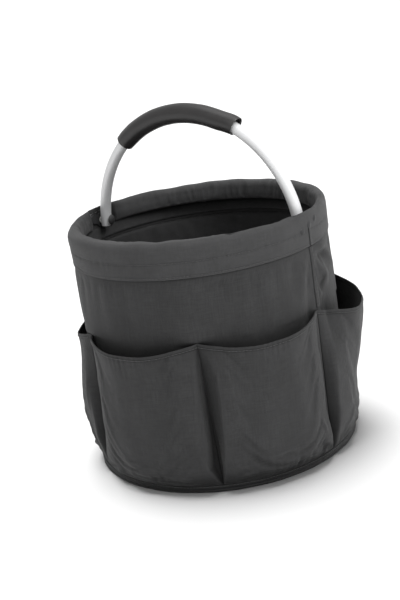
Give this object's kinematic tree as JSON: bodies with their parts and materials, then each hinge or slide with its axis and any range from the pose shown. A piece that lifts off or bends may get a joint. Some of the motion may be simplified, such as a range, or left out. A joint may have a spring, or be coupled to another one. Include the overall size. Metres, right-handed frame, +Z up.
{
  "type": "cleaning caddy",
  "caption": "Round soft-sided cleaning caddy with a stiff base, padded hoop rim, outside pockets and an arched tube handle that swings on rim brackets.",
  "frame": {"origin": "centre of the underside of the base, on the floor", "axes": "+Z up along the bucket's axis; X through the two handle feet and side seams; -Y is the front"},
  "size_m": [0.354, 0.3602, 0.4335],
  "materials": {
    "body_fabric": "matt plain-weave polyester, charcoal",
    "lining_fabric": "matt thin polyester, charcoal",
    "trim_tape": "ribbed grosgrain tape, near black",
    "base_fabric": "coated polyester, near black",
    "board": "matt polypropylene sheet",
    "hoop_steel": "spring steel strip",
    "foam": "open-cell foam",
    "dark_hardware": "dark satin paint",
    "nylon": "natural nylon",
    "tube_aluminium": "satin anodised",
    "grip_foam": "satin closed-cell foam",
    "plug_plastic": "moulded nylon, black"
  },
  "bodies": {
    "base": {"base_cover": "base_fabric", "base_board": "board", "base_lining": "lining_fabric", "base_binding": "trim_tape", "wall_front": "body_fabric", "wall_rear": "body_fabric", "lining_front": "lining_fabric", "lining_rear": "lining_fabric", "side_seam_right": "trim_tape", "side_seam_left": "trim_tape", "pocket_1": "body_fabric", "pocket_2": "body_fabric", "pocket_3": "body_fabric", "pocket_4": "body_fabric", "pocket_5": "body_fabric", "pocket_6": "body_fabric", "pocket_tape_1": "trim_tape", "pocket_tape_2": "trim_tape", "pocket_tape_3": "trim_tape", "pocket_tape_4": "trim_tape", "pocket_tape_5": "trim_tape", "pocket_tape_6": "trim_tape"},
    "rim": {"rim_band": "body_fabric", "rim_hoop": "hoop_steel", "hoop_joiner": "hoop_steel", "rim_padding_front": "foam", "rim_padding_rear": "foam", "pivot_bracket_right": "dark_hardware", "pivot_bracket_left": "dark_hardware", "bracket_rivets_right": "dark_hardware", "bracket_rivets_left": "dark_hardware", "pivot_pin_right": "dark_hardware", "pivot_pin_left": "dark_hardware", "pivot_washers_right": "nylon", "pivot_washers_left": "nylon"},
    "handle": {"handle_tube": "tube_aluminium", "grip_sleeve": "grip_foam", "foot_plug_right": "plug_plastic", "foot_plug_left": "plug_plastic"}
  },
  "joints": [
    {"name": "rim_collapse", "type": "slide", "parent": "base", "child": "rim", "axis": [0, 0, 1], "range_m": [-0.2, 0], "deforming": ["wall_front", "wall_rear", "lining_front", "lining_rear", "side_seam_right", "side_seam_left", "pocket_1", "pocket_2", "pocket_3", "pocket_4", "pocket_5", "pocket_6", "pocket_tape_1", "pocket_tape_2", "pocket_tape_3", "pocket_tape_4", "pocket_tape_5", "pocket_tape_6"]},
    {"name": "handle_swing", "type": "hinge", "parent": "rim", "child": "handle", "pos_m": [0, 0, 0.287], "axis": [1, 0, 0], "range_deg": [-73, 73]}
  ]
}
